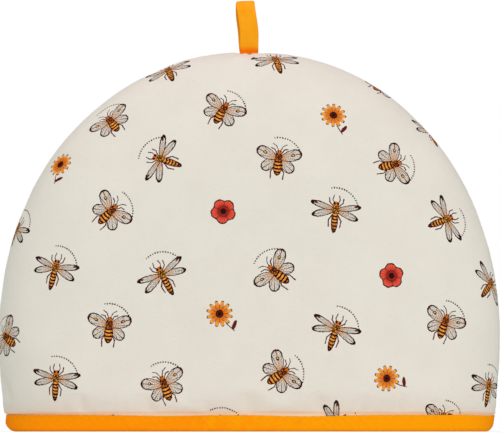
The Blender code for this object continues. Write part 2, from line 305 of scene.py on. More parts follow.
def add_camera():
    """The camera looks at the front, from so far away that nothing narrows with distance."""
    data = bpy.data.cameras.new("camera")
    data.sensor_width = SENSOR_WIDTH
    data.lens = SENSOR_WIDTH * CAMERA_DISTANCE / FRAME_SPAN
    data.clip_end = CAMERA_CLIP
    camera = new_object("camera", data)
    camera.location = (AIM.x, -CAMERA_DISTANCE, CAMERA_HEIGHT)
    camera.rotation_euler = facing(camera.location, AIM)
    bpy.context.scene.camera = camera


def add_studio():
    """A room that looks white and lights a little cooler, and the soft square lamps."""
    world = bpy.data.worlds.new("white_room")
    world.use_nodes = True
    recipe = Recipe(world.node_tree)
    seen = recipe.node("LightPath").outputs["Is Camera Ray"]
    recipe.plug(recipe.mix(seen, ROOM_LIGHT, WHITE), world.node_tree.nodes["Background"], "Color")
    bpy.context.scene.world = world
    bpy.context.scene.view_settings.view_transform = "Standard"
    for name, (place, size, power, colour) in LAMPS.items():
        data = bpy.data.lights.new(name, "AREA")
        data.shape = "SQUARE"
        data.size = size
        data.energy = power
        data.color = colour
        softbox = new_object(name, data)
        softbox.location = place
        softbox.rotation_euler = facing(place, LAMP_TARGET)


def add_floor():
    """A round pale floor."""
    shape = bmesh.new()
    bmesh.ops.create_circle(shape, cap_ends=True, segments=96, radius=FLOOR_RADIUS)
    new_object("floor", new_mesh("floor", shape, [floor_material()]))


# ---------------------------------------------------------------- outline

def half_width(height):
    """Half of the outline's width below its widest place."""
    drop = (WIDEST_AT - height) / (WIDEST_AT - HEM_HEIGHT)
    return HALF_WIDTH - HEM_DRAW_IN * smooth(drop)


def outline_table(steps=600):
    """Directions from the middle of the hem, with the distance to the seam in each."""
    points = []
    for step in range(steps + 1):
        height = WIDEST_AT * (2.0 * step / steps - 1.0)
        points.append((half_width(height), height))
    for step in range(1, steps + 1):
        turn = 0.5 * math.pi * step / steps
        across = math.cos(turn) ** (2.0 / DOME_POWER) if step < steps else 0.0
        up = math.sin(turn) ** (2.0 / DOME_POWER)
        points.append((HALF_WIDTH * across, WIDEST_AT + (DOME_HEIGHT - WIDEST_AT) * up))
    angles = numpy.array([math.atan2(z, x) for x, z in points])
    radii = numpy.array([math.hypot(x, z) for x, z in points])
    steps_along = numpy.hypot(*numpy.diff(numpy.array(points), axis=0).T)
    lengths = numpy.concatenate(([0.0], numpy.cumsum(steps_along)))
    return angles, radii, lengths[-1] - lengths


OUTLINE_ANGLES, OUTLINE_RADII, OUTLINE_LENGTHS = outline_table()


def seam_distance(x, z):
    """Distance from the middle of the hem to the seam, in the direction of (x, z)."""
    radius = float(numpy.interp(math.atan2(z, abs(x)), OUTLINE_ANGLES, OUTLINE_RADII))
    turn = math.atan2(x, z)
    for mark in SEAM_MARKS:
        beside = (turn - math.atan2(mark["x"], mark["z"])) * radius
        radius -= mark["depth"] * bell(beside, mark["reach"])
    return radius


def along_seam(x, z):
    """Length of seam from the top of the dome to the direction of (x, z)."""
    length = float(numpy.interp(math.atan2(z, abs(x)), OUTLINE_ANGLES, OUTLINE_LENGTHS))
    return math.copysign(length, x)


# ---------------------------------------------------------------- crown

def crown_table(steps=400):
    """Shares of the way to the seam, evenly by length, with radius and depth there."""
    turns = [0.5 * math.pi * step / steps for step in range(steps + 1)]
    radii = [math.sin(turn) ** (2.0 / CROWN_POWER) for turn in turns]
    depths = [math.cos(turn) for turn in turns]
    lengths = [0.0]
    for step in range(steps):
        across = (radii[step + 1] - radii[step]) * HALF_WIDTH
        back = (depths[step + 1] - depths[step]) * CROWN_DEPTH
        lengths.append(lengths[-1] + math.hypot(across, back))
    shares = [length / lengths[-1] for length in lengths]
    return numpy.array(shares), numpy.array(radii), numpy.array(depths), lengths[-1]


CROWN_SHARES, CROWN_RADII, CROWN_DEPTHS, CROWN_LENGTH = crown_table()
TURN_LENGTH = CROWN_LENGTH - HALF_WIDTH    # cloth taken up by the turn to the seam


def crown_depth(height):
    """Depth of the skin at the middle of a cover, drawn in a little at the hem."""
    drop = (DEPTH_DRAWN_FROM - height) / (DEPTH_DRAWN_FROM - HEM_HEIGHT)
    return CROWN_DEPTH - DEPTH_DRAW_IN * min(1.0, max(0.0, drop)) ** 2


def skin_level(point):
    """1 on the padded skin, less inside it."""
    radius = math.hypot(point.x, point.z) / seam_distance(point.x, point.z)
    return radius ** CROWN_POWER + (point.y / crown_depth(point.z)) ** 2


def skin_normal(point, probe=0.2 * MM):
    """Outward direction of the padded skin."""
    slopes = []
    for axis in range(3):
        step = Vector((0.0, 0.0, 0.0))
        step[axis] = probe
        slopes.append(skin_level(point + step) - skin_level(point - step))
    return Vector(slopes).normalized()


def skin_point(across, up, side):
    """A point of the padded skin, from its place in the flat half circle."""
    share = min(1.0, math.hypot(across, up))
    if share < 1e-9:
        return Vector((0.0, side * crown_depth(0.0), 0.0))
    radius = float(numpy.interp(share, CROWN_SHARES, CROWN_RADII))
    depth = float(numpy.interp(share, CROWN_SHARES, CROWN_DEPTHS)) if share < 1.0 else 0.0
    reach = radius * seam_distance(across, up) / share
    return Vector((across * reach, side * crown_depth(up * reach) * depth, up * reach))


def corner_shaped(point):
    """Rounds the lower corners up towards the side seams, and slopes them in."""
    side = -1 if point.x < 0.0 else 1
    end = HEM_ENDS[side]
    radius = end["radius"]
    from_seam = math.hypot(point.y, CORNER_SOFTNESS) - CORNER_SOFTNESS
    inward = HALF_WIDTH * (from_seam / (2.0 * CROWN_DEPTH)) ** 2
    left = max(0.0, radius - inward)
    lift = radius - math.sqrt(radius ** 2 - left ** 2)
    floor = STRIP + EDGE_CLEARANCE
    hold = min(1.0, max(0.0, (HEM_HEIGHT - point.z) / (HEM_HEIGHT - floor)))
    out = end["out"] * smooth(1.0 - (point.z - HEM_HEIGHT) / END_FADE) - end["slope"] * hold
    out *= side * bell(point.y, END_REACH)
    return Vector((point.x + out, point.y, point.z + lift * hold))


# ---------------------------------------------------------------- padded covers

def column_place(share):
    """Where a column stands, from -1 to 1, closer together at the side seams."""
    size = abs(share)
    return math.copysign(size + COLUMN_EASE * math.sin(math.pi * size) / math.pi, share)


def half_circle_place(column, row):
    """Spreads a rectangle over a half circle."""
    across = column * math.sqrt(1.0 - row * row / 2.0)
    up = row * math.sqrt(1.0 - column * column / 2.0)
    return across, up


@functools.cache
def binding_row(column):
    """The row that lies at the top edge of the binding, in one column."""
    low, high = 0.0, 0.5
    for _ in range(24):
        middle = (low + high) / 2.0
        if skin_point(*half_circle_place(column, middle), 1).z < SWELL_START:
            low = middle
        else:
            high = middle
    return high


def row_place(column, share):
    """Where a row lies, from 0 to 1: evenly in the binding, then eased up to the seam."""
    hem_share = HEM_ROWS / ROWS
    first = binding_row(round(column, 6))
    if share <= hem_share:
        return first * share / hem_share
    climb = (share - hem_share) / (1.0 - hem_share)
    eased = climb - ROW_EASE * math.sin(2.0 * math.pi * climb) / (2.0 * math.pi)
    return first + (1.0 - first) * eased


def hem_set_back():
    """How far a cover's pressed edge lies inside the skin."""
    return BINDING_SET_BACK + STRIP + CLEARANCE


def shoulder(skin):
    """0 at the top edge of the binding, then a quarter round out to 1, tighter at the side seams."""
    reach = SWELL_AT_SEAM + (SWELL_OUTSIDE - SWELL_AT_SEAM) * smooth(abs(skin.y) / SWELL_EVENS_OUT)
    left = 1.0 - min(1.0, max(0.0, (skin.z - SWELL_START) / reach))
    return math.sqrt(1.0 - left * left)


def dent(point, dents):
    """How far the cover is pressed in at a point."""
    total = 0.0
    for mark in dents:
        distance = math.hypot(point.x - mark["x"], point.z - mark["z"])
        total += mark["depth"] * bell(distance, mark["reach"])
    return total


def seam_gap(x, z, narrow):
    """From a cover's edge to the middle of the seam, wider where the loop is sewn in."""
    if z < DOME_HEIGHT / 2:
        return narrow
    beside = abs(x - LOOP_BASE_X) - NOTCH_HALF_WIDTH
    return narrow + (NOTCH_DEPTH - narrow) * (1.0 - smooth(beside / NOTCH_RUN))


def unevenness(along, size, seed):
    """A slow variation along a seam, from about 0.3 to 1.7."""
    return 1.0 + 1.4 * noise.noise(Vector((along / size, seed, 0.0)))


def pucker(along, kind, seed):
    """Sharp little valleys between soft rises, at right angles to a seam."""
    pitch = kind["pitch"]
    wander = PUCKER_WANDER * noise.noise(Vector((along / (3.0 * pitch), seed, 5.0)))
    valley = 1.0 - abs(math.sin(math.pi * along / pitch + wander))
    size = max(PUCKER_LEAST, unevenness(along, 5.0 * pitch, seed + 9.0))
    return kind["depth"] * size * (valley * valley - PUCKER_RISE)


def loop_creases(point):
    """Creases that fan out in the cover from the place where the loop is sewn in."""
    x = point.x - LOOP_BASE_X
    z = point.z - DOME_HEIGHT
    distance = math.hypot(x, z) - NOTCH_HALF_WIDTH
    fan = math.sin(math.atan2(x, -z) * LOOP_CREASES["count"] + LOOP_CREASES["phase"])
    return LOOP_CREASES["depth"] * fan * bell(max(0.0, distance), LOOP_CREASES["reach"])


def cloth_relief(skin, share, side, above_hem):
    """How far the outer cloth stands in from the plain padded shape."""
    seed = 3.0 * side
    to_seam = (1.0 - share) * CROWN_LENGTH
    along = along_seam(skin.x, skin.z)
    relief = pucker(along, SEAM_PUCKER, seed) * math.exp(-to_seam / SEAM_PUCKER["reach"])
    relief += pucker(skin.x, HEM_PUCKER, seed + 1.0) * math.exp(-above_hem / HEM_PUCKER["reach"])
    relief += loop_creases(skin)
    spot = Vector((skin.x, side * WAVES_APART, skin.z))
    calm = smooth(above_hem / SWELL_INSIDE) * smooth((1.0 - share) / WAVE["seam_run"])
    relief += WAVE["height"] * (0.5 + 0.8 * noise.noise(spot / WAVE["size"])) * calm
    relief += RIPPLE["height"] * noise.noise(spot / RIPPLE["size"])
    return relief


def cover_point(column, share_up, side, dents, inner=False, settled=0.0):
    """A point of a cover's outer or inner face, and its place on the flat cloth."""
    across, up = half_circle_place(column, row_place(column, share_up))
    share = min(1.0, math.hypot(across, up))
    skin = skin_point(across, up, side)
    normal = skin_normal(skin)
    above_hem = skin.z - SWELL_START
    press = dent(skin, dents) * smooth(above_hem / SWELL_INSIDE) * smooth((1.0 - share) / DENT_RUN)
    if inner:
        padding = PADDING + (SEAM_PADDING - PADDING) * smooth((share - 1.0) / PADDING_RUN + 1.0)
        pressed = hem_set_back() + HEM_PADDING
        inset = pressed + (padding - pressed) * smooth(above_hem / SWELL_INSIDE) + press
    else:
        swell = shoulder(skin)
        groove = GROOVE * bell(skin.y, GROOVE_REACH) * smooth(above_hem / SWELL_OUTSIDE)
        inset = hem_set_back() * (1.0 - swell) + groove + press
        if above_hem > 0.0:
            relief = cloth_relief(skin, share, side, above_hem) - settled
            inset += relief * smooth(above_hem / RELIEF_RUN)
    point = skin - normal * inset
    point.z = max(point.z, 0.0) + (STRIP + EDGE_CLEARANCE) * (1.0 - smooth(skin.z / HEM_HEIGHT))
    narrow = INNER_GAP if inner else SEAM_GAP
    point.y = side * max(abs(point.y), seam_gap(point.x, point.z, narrow))
    reach = seam_distance(across, up) + TURN_LENGTH
    right, higher = CUT_FROM[side]
    return corner_shaped(point), (across * reach / MM + right, up * reach / MM + higher)


def add_group(piece, name, weights):
    """A vertex group with a weight for each vertex."""
    group = piece.vertex_groups.new(name=name)
    for index, weight in enumerate(weights):
        group.add([index], weight, "REPLACE")
    return group.name


def add_cloth(piece, sewn, calm):
    """Cloth that is sewn down at its edges, fuller near them and held by the padding elsewhere."""
    cloth = piece.modifiers.new("cloth", "CLOTH")
    settings = cloth.settings
    for name, value in CLOTH_SETTINGS.items():
        setattr(settings, name, value)
    settings.vertex_group_mass = add_group(piece, "sewn", sewn)
    settings.vertex_group_shrink = add_group(piece, "calm", calm)
    settings.effector_weights.gravity = 0.0
    cloth.collision_settings.use_collision = False
    cloth.point_cache.frame_start = 1
    cloth.point_cache.frame_end = CLOTH_FRAMES


def run_cloth(piece):
    """How far each vertex has moved along its normal once the cloth has come to rest."""
    scene = bpy.context.scene
    for frame in range(1, CLOTH_FRAMES + 1):
        scene.frame_set(frame)
    settled = piece.evaluated_get(bpy.context.evaluated_depsgraph_get())
    moves = [(after.co - before.co).dot(before.normal)
             for before, after in zip(piece.data.vertices, settled.data.vertices)]
    scene.frame_set(1)
    return moves


def twice_as_fine(table):
    """The table with a value between each two, on the smooth curve through its neighbours."""
    for axis in (0, 1):
        rows = numpy.moveaxis(table, axis, 0)
        longer = numpy.concatenate((rows[:1], rows, rows[-1:]))
        finer = numpy.empty((2 * len(rows) - 1, *rows.shape[1:]))
        finer[0::2] = rows
        finer[1::2] = (9.0 * (longer[1:-2] + longer[2:-1]) - longer[:-3] - longer[3:]) / 16.0
        table = numpy.moveaxis(finer, 0, axis)
    return table


def settle_cover(side, dents):
    """Simulates a cover's cloth: how far out it lies, for each column and row of the cover."""
    columns, rows = COLUMNS // 2, ROWS // 2
    table = numpy.zeros((columns + 1, rows + 1))
    sheet, places = flat_grid(columns, rows)
    sewn, calm = [], []
    for vertex in places:
        column = column_place(vertex.co.x)
        share_up = (vertex.co.y + 1.0) / 2.0
        share = min(1.0, math.hypot(*half_circle_place(column, row_place(column, share_up))))
        vertex.co, _ = cover_point(column, share_up, side, dents)
        from_seam = (1.0 - share) * CROWN_LENGTH
        above_hem = vertex.co.z - SWELL_START
        is_sewn = share > SEWN_SHARE or share_up < HEM_ROWS / ROWS
        sewn.append(1.0 if is_sewn else PADDING_HOLD)
        calm.append(smooth(from_seam / EASE_REACH) * smooth(above_hem / EASE_REACH))
    places = list(places.values())
    mesh = new_mesh("cloth_trial", sheet)
    trial = new_object("cloth_trial", mesh)
    add_cloth(trial, sewn, calm)
    for place, move in zip(places, run_cloth(trial)):
        table[place] = min(CLOTH_REACH, max(-CLOTH_REACH, -side * move))
    bpy.data.objects.remove(trial)
    bpy.data.meshes.remove(mesh)
    return twice_as_fine(table)


def add_cover(name, node, side, dents, materials):
    """A padded cover: a fine flat sheet doubled, and each layer shaped."""
    settled = settle_cover(side, dents)
    sheet, grid_places = flat_grid(COLUMNS, ROWS)
    for vertex in sheet.verts:
        vertex.co.x = column_place(vertex.co.x)
        vertex.co.y = (vertex.co.y + 1.0) / 2.0
    outer = set(sheet.verts)
    extruded = bmesh.ops.extrude_face_region(sheet, geom=sheet.faces[:], use_keep_orig=True)
    inner = {item for item in extruded["geom"] if isinstance(item, bmesh.types.BMVert)}
    cloth_places = {}
    for vertices, is_inner in ((outer, False), (inner, True)):
        for vertex in vertices:
            out = 0.0 if is_inner else settled[grid_places[vertex]]
            place, on_cloth = cover_point(vertex.co.x, vertex.co.y, side, dents, is_inner, out)
            vertex.co = place
            cloth_places[vertex] = on_cloth
    cloth_map = sheet.loops.layers.uv.new("cloth")
    for face in sheet.faces:
        face.material_index = 0 if all(vertex in outer for vertex in face.verts) else 1
        for corner in face.loops:
            corner[cloth_map].uv = cloth_places[corner.vert]
    cover = add_piece(name, sheet, materials)
    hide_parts(node)


# ---------------------------------------------------------------- hem binding

def arc(centre, radius, start, end, steps):
    """Points of an arc, angles in degrees."""
    points = []
    for step in range(steps + 1):
        turn = math.radians(start + (end - start) * step / steps)
        points.append((centre[0] + radius * math.cos(turn), centre[1] + radius * math.sin(turn)))
    return points


def wall(set_back, low, high, steps, bulge):
    """Points up one face of the strip, without its two ends."""
    points = []
    for step in range(1, steps):
        share = step / steps
        points.append((set_back + bulge * 4.0 * share * (1.0 - share), low + (high - low) * share))
    return points


def inner_set_back():
    """How far the channel's inner wall lies inside the skin."""
    return hem_set_back() + HEM_PADDING + CLEARANCE


def strip_section():
    """The folded strip's cross-section: set-back from the skin, and height."""
    outer = BINDING_SET_BACK
    channel = outer + STRIP
    inner = inner_set_back()
    back = inner + STRIP
    middle = (outer + back) / 2.0
    half = STRIP / 2.0
    top = HEM_HEIGHT - half
    points = arc((outer + half, top), half, 0.0, 180.0, 6)
    points += reversed(wall(outer, HEM_ROUNDING, top, 9, -BINDING_BULGE))
    points += arc((outer + HEM_ROUNDING, HEM_ROUNDING), HEM_ROUNDING, 180.0, 225.0, 2)
    points += [(middle - REST_FLAT / 2.0, 0.0), (middle, 0.0), (middle + REST_FLAT / 2.0, 0.0)]
    points += arc((back - HEM_ROUNDING, HEM_ROUNDING), HEM_ROUNDING, 315.0, 360.0, 2)
    points += wall(back, HEM_ROUNDING, top, 9, BINDING_BULGE)
    points += arc((inner + half, top), half, 0.0, 180.0, 6)
    points += [(inner, HEM_HEIGHT / 2.0), (inner, STRIP), (channel, STRIP), (channel, HEM_HEIGHT / 2.0)]
    return points


def hem_station(share):
    """A place on the skin's lowest line, once round, and the outward direction there."""
    turn = (share % 1.0) * 4.0 - 1.0
    place, side = (turn, FRONT) if turn <= 1.0 else (2.0 - turn, BACK)
    point = skin_point(place, 0.0, side)
    normal = skin_normal(point)
    return point, Vector((normal.x, normal.y, 0.0)).normalized()


def hem_length():
    """Length once round the hem."""
    return 4.0 * (seam_distance(1.0, 0.0) + TURN_LENGTH)


def thread_pull(from_line, stitches, between):
    """How far a sewn line is pulled in: 1 at the holes, and less between them."""
    hole = abs(math.cos(math.pi * stitches)) ** 3
    return bell(from_line, STITCH_SINK_REACH) * (between + (1.0 - between) * hole)


def strip_relief(share, height, outward_face):
    """How far the strip stands in, with the sewing, drag lines, corner folds and join."""
    along = share * hem_length()
    sink = STITCH_SINK * thread_pull(height - HEM_STITCH_HEIGHT, share * HEM_STITCHES, HEM_PULL)
    slanted = 2.0 * math.pi * (along + height * DRAG["slant"])
    wander = 3.0 * noise.noise(Vector((along / DRAG["wander"], 0.0, 0.0)))
    drag = DRAG["height"] * math.sin(slanted / DRAG["pitch"] + wander)
    drag *= unevenness(along, DRAG["patch"], 4.0)
    corner = min(abs(share - place) for place in (0.0, 0.5, 1.0)) * hem_length()
    fold = CORNER_FOLD["height"] * math.sin(slanted / CORNER_FOLD["pitch"])
    fold *= bell(corner, CORNER_FOLD["reach"]) * smooth(1.0 - height / HEM_HEIGHT)
    relief = sink + drag + fold
    if outward_face:
        past = along - JOIN["at"] * hem_length()
        ends = smooth(past / JOIN["run"]) * (1.0 - smooth((past - JOIN["length"]) / JOIN["run"]))
        relief -= JOIN["step"] * ends
    return relief * smooth(height / HEM_ROUNDING)


def edge_dip(share):
    """How far the binding's top edge dips, slowly, round the hem."""
    return sum(depth * bell((share % 1.0) - place, reach) for place, reach, depth in EDGE_DIPS)


def strip_place(share, corner):
    """A point of the strip, from its place round the hem and in the section."""
    set_back, height = corner
    point, outward = hem_station(share)
    if set_back < BINDING_SET_BACK + RELIEF_SHARE * STRIP:
        set_back += strip_relief(share, height, True)
    elif set_back > inner_set_back() + (1.0 - RELIEF_SHARE) * STRIP:
        set_back -= strip_relief(share, height, False)
    upper = smooth((height - EDGE_DRAWN_FROM) / EDGE_DRAWN_RUN)
    wave = EDGE_WAVE * (0.5 + 0.5 * math.cos(2.0 * math.pi * share * HEM_STITCHES))
    height -= upper * (wave + edge_dip(share))
    place = point - outward * set_back
    return corner_shaped(Vector((place.x, place.y, height)))


def section_lengths(section):
    """Length round a closed cross-section, up to each of its points and back to the first."""
    lengths = [0.0]
    for first, second in zip(section, section[1:] + section[:1]):
        lengths.append(lengths[-1] + math.dist(first, second))
    return lengths


def sweep(stations, section_size, place_of, on_cloth):
    """A grid rolled up into a tube along a line, with the place and cloth place of each point."""
    tube, grid_places = flat_grid(stations, section_size)
    cloth_map = tube.loops.layers.uv.new("cloth")
    for face in tube.faces:
        for loop in face.loops:
            loop[cloth_map].uv = on_cloth(*grid_places[loop.vert])
    for vertex, (station, corner) in grid_places.items():
        vertex.co = place_of(station, corner % section_size)
    bmesh.ops.remove_doubles(tube, verts=tube.verts[:], dist=0.0005 * MM)
    return tube


def add_hem_strip(material):
    """The binding: its cross-section carried once round the hem."""
    section = strip_section()
    lengths = section_lengths(section)
    stations = HEM_STITCHES * STATIONS_PER_STITCH
    ring = sweep(
        stations, len(section),
        lambda station, corner: strip_place(station / stations, section[corner]),
        lambda station, corner: (station / stations * hem_length() / MM, lengths[corner] / MM))
    strip = add_piece("hem_strip", ring, [material])
    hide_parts("hem_binding")


# ---------------------------------------------------------------- loop

def loop_lean(y, z):
    """Sideways place of the tape's middle: the loop leans, and its back leg is set over."""
    climb = (z - DOME_HEIGHT) / LOOP_HEIGHT
    lean = LOOP_BASE_X + LOOP_LEAN * smooth((climb - LOOP_LEAN_FROM) / LOOP_LEAN_RUN)
    middle = 4.0 * max(0.0, climb) * max(0.0, 1.0 - climb)
    return lean + (LOOP_SHIFT + (LOOP_TWIST if y > 0.0 else 0.0)) * middle


def loop_line():
    """The middle line of the tape, from the front end over the top to the back end."""
    crest = DOME_HEIGHT + LOOP_HEIGHT - TAPE_THICKNESS / 2.0 - LOOP_HALF_GAP
    bottom = DOME_HEIGHT - TAIL_LENGTH
    leg = []
    for step in range(LEG_STEPS + 1):
        height = bottom + (crest - bottom) * step / LEG_STEPS
        climb = (height - DOME_HEIGHT) / (crest - DOME_HEIGHT)
        left = 1.0 - min(1.0, max(0.0, climb / LEG_BEND))
        spread = 1.0 - left ** 2
        gap = TAIL_HALF_GAP + (LOOP_HALF_GAP - TAIL_HALF_GAP) * spread
        leg.append((gap, height))
    line = [(-gap, height) for gap, height in leg]
    for step in range(1, CREST_STEPS):
        turn = math.pi * step / CREST_STEPS
        line.append((-LOOP_HALF_GAP * math.cos(turn), crest + LOOP_HALF_GAP * math.sin(turn)))
    line += [(gap, height) for gap, height in reversed(leg)]
    return [Vector((loop_lean(y, z), y, z)) for y, z in line]


def tape_section():
    """The folded tape's cross-section: two layers, folded at the right, open at the left."""
    wide = TAPE_WIDTH / 2.0
    thick = TAPE_THICKNESS / 2.0
    slit = TAPE_LAYER_GAP / 2.0
    edge = (thick - slit) / 2.0
    steps = 10
    inside = wide - thick
    spread = [-wide + edge + (2.0 * wide - edge - thick) * step / steps for step in range(steps + 1)]
    points = [(across, -thick) for across in spread]
    points += arc((inside, 0.0), thick, -90.0, 90.0, 8)[1:-1]
    points += [(across, thick) for across in reversed(spread)]
    points += arc((-wide + edge, thick - edge), edge, 90.0, 270.0, 4)[1:-1]
    points += [(across, slit) for across in spread[:-1]]
    points += [(across, -slit) for across in reversed(spread[:-1])]
    points += arc((-wide + edge, edge - thick), edge, 90.0, 270.0, 4)[1:-1]
    return points


def tape_relief(along, across):
    """How far the tape's outer faces stand in: the sewn line, its puckers and soft creases."""
    from_line = across - (TAPE_STITCH_INSET - TAPE_WIDTH / 2.0)
    sink = TAPE_STITCH_SINK * thread_pull(from_line, along / TAPE_STITCH_PITCH, TAPE_PULL)
    spot = Vector((along / TAPE_CREASE["length"], across / TAPE_CREASE["width"], 3.0))
    crease = TAPE_CREASE["height"] * noise.noise(spot)
    crown = TAPE_CROWN["height"] * bell(across - TAPE_CROWN["at"], TAPE_CROWN["reach"])
    return sink + crease - crown


def add_loop(material):
    """The loop: the folded tape's cross-section carried along its line."""
    line = loop_line()
    section = tape_section()
    lengths = section_lengths(section)
    last = len(line) - 1
    run = [0.0]
    for first, second in zip(line, line[1:]):
        run.append(run[-1] + (second - first).length)

    def place_of(station, corner):
        along = line[min(station + 1, last)] - line[max(station - 1, 0)]
        outward = Vector((0.0, -along.z, along.y)).normalized()
        across, through = section[corner]
        if abs(through) > 0.9 * TAPE_THICKNESS / 2.0:
            through -= math.copysign(tape_relief(run[station], across), through)
        waver = noise.noise(Vector((run[station] / TAPE_WAVER["length"], 7.0, 0.0)))
        across += TAPE_WAVER["width"] * waver
        place = line[station] + Vector((across, 0.0, 0.0)) + outward * through
        edge = 2.0 * across / TAPE_WIDTH
        place.z -= max(0.0, outward.z) * (CREST_ROUNDING * abs(edge) ** 8 - CREST_TILT * edge)
        return place

    tube = sweep(last, len(section), place_of,
                 lambda station, corner: ((run[station] - run[-1] / 2.0) / MM, lengths[corner] / MM))
    open_edges = [edge for edge in tube.edges if edge.is_boundary]
    bmesh.ops.holes_fill(tube, edges=open_edges, sides=0)
    loop = add_piece("hanging_loop", tube, [material])
    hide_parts("top_loop")


# ---------------------------------------------------------------- sewing thread

def add_stitch(shape, place, along, outward, pitch):
    """One stitch: a short rounded length of thread, partly sunk in the cloth."""
    across = along.cross(outward).normalized()
    turn = Matrix((along, across, outward)).transposed().to_4x4()
    size = Matrix.Diagonal((pitch * THREAD_SHARE / 2.0, THREAD, THREAD, 1.0))
    bmesh.ops.create_uvsphere(shape, u_segments=6, v_segments=5, radius=1.0,
                              matrix=Matrix.Translation(place) @ turn @ size)


def add_hem_stitches(material):
    """The stitches that hold the binding, on its outer face and inside."""
    shape = bmesh.new()
    pitch = hem_length() / HEM_STITCHES
    faces = ((BINDING_SET_BACK, 1.0), (inner_set_back() + STRIP, -1.0))
    for number in range(HEM_STITCHES):
        share = (number + 0.5) / HEM_STITCHES
        point, outward = hem_station(share)
        ahead, _ = hem_station(share + 0.2 / HEM_STITCHES)
        behind, _ = hem_station(share - 0.2 / HEM_STITCHES)
        along = (ahead - behind).normalized()
        for set_back, way in faces:
            relief = strip_relief(share, HEM_STITCH_HEIGHT, way > 0.0)
            sunk = set_back + way * (relief + THREAD_SUNK - STITCH_PROUD)
            place = point - outward * sunk
            place.z = HEM_STITCH_HEIGHT - edge_dip(share)
            add_stitch(shape, corner_shaped(place), along, outward, pitch)
    add_piece("hem_stitches", shape, [material])


def add_loop_stitches(material):
    """The stitches that close the folded tape, on both faces of both legs."""
    shape = bmesh.new()
    line = loop_line()
    run = 0.0
    due = TAPE_STITCH_PITCH / 2.0
    across = TAPE_STITCH_INSET - TAPE_WIDTH / 2.0
    for before, after in zip(line, line[1:]):
        step = (after - before).length
        while run + step >= due:
            place = before.lerp(after, (due - run) / step)
            along = (after - before).normalized()
            outward = Vector((0.0, -along.z, along.y)).normalized()
            for way in (1.0, -1.0):
                rise = TAPE_THICKNESS / 2.0 - tape_relief(due, across) - THREAD_SUNK
                spot = place + Vector((across, 0.0, 0.0)) + outward * (way * rise)
                add_stitch(shape, spot, along, outward, TAPE_STITCH_PITCH)
            due += TAPE_STITCH_PITCH
        run += step
    add_piece("loop_stitches", shape, [material])


# ---------------------------------------------------------------- colours

def ink(red, green, blue):
    """A colour given as a printer's colour card shows it, from 0 to 255."""
    card = Color((red / 255.0, green / 255.0, blue / 255.0))
    return (*card.from_srgb_to_scene_linear(), 1.0)


# The inks of the print
BROWN_BLACK = ink(38, 18, 16)
PEN_GREY = ink(104, 90, 86)
BAND_ORANGE = ink(247, 168, 66)
DEEP_ORANGE = ink(214, 112, 34)
MAROON = ink(96, 30, 22)
POPPY_RED = ink(228, 84, 62)
POPPY_DARK = ink(158, 40, 34)
WING_PALE = ink(224, 216, 204)
WING_WARM = ink(232, 168, 104)

# The print's pen: half of each outline in millimetres, half of the net's and the veins' lines
# as a share of their spacing, and the level of noise above which there is a stroke
WING_OUTLINE = 0.26
BODY_OUTLINE = 0.22
NET_LINE = 0.055
VEIN_LINE = 0.07
STROKE_ABOVE = 0.56

# The weaves: the threads' pitch in millimetres, and their depth
COTTON_PITCH, COTTON_DEPTH = 0.9, 0.04 * MM
DYED_PITCH, DYED_DEPTH = 0.8, 0.03 * MM

# The cotton: as woven, where it is cloudier, and its darker threads
CREAM = (0.780, 0.765, 0.692, 1.0)
CREAM_CLOUD = (0.760, 0.743, 0.668, 1.0)
CREAM_THREAD = (0.70, 0.67, 0.59, 1.0)
CREAM_SHEEN = (1.0, 0.97, 0.92, 1.0)

# The dyed cotton and thread, each from one tone to another
BINDING_TONES = ((1.0, 0.375, 0.0015, 1.0), (1.0, 0.312, 0.0015, 1.0))
TAPE_TONES = ((1.0, 0.400, 0.012, 1.0), (0.99, 0.360, 0.008, 1.0))
# painted shade for the loop's base, where the tape goes into the seam
TAPE_PAINTED_SHADE = (1.0, 0.20, 0.002, 1.0)
HEM_THREAD_TONES = ((1.0, 0.38, 0.004, 1.0), (1.0, 0.46, 0.008, 1.0))
LOOP_THREAD_TONES = ((1.0, 0.42, 0.012, 1.0), (1.0, 0.50, 0.020, 1.0))
ORANGE_SHEEN = (1.0, 0.12, 0.0, 1.0)
PALER_SIDE = {"turn": -1.45, "by": 0.4, "less": 0.05}    # of the binding
CARD_TONES = ((0.90, 0.90, 0.89, 1.0), (0.87, 0.87, 0.86, 1.0))

# Painted orange bounce light on the cloth just above the binding: its colour, its strength
# at the binding, and the heights between which it fades
PAINTED_BOUNCE = {"colour": (1.0, 0.765, 0.505, 1.0), "strength": 0.8, "from": 11.2 * MM, "to": 15.5 * MM}


# ---------------------------------------------------------------- node recipes

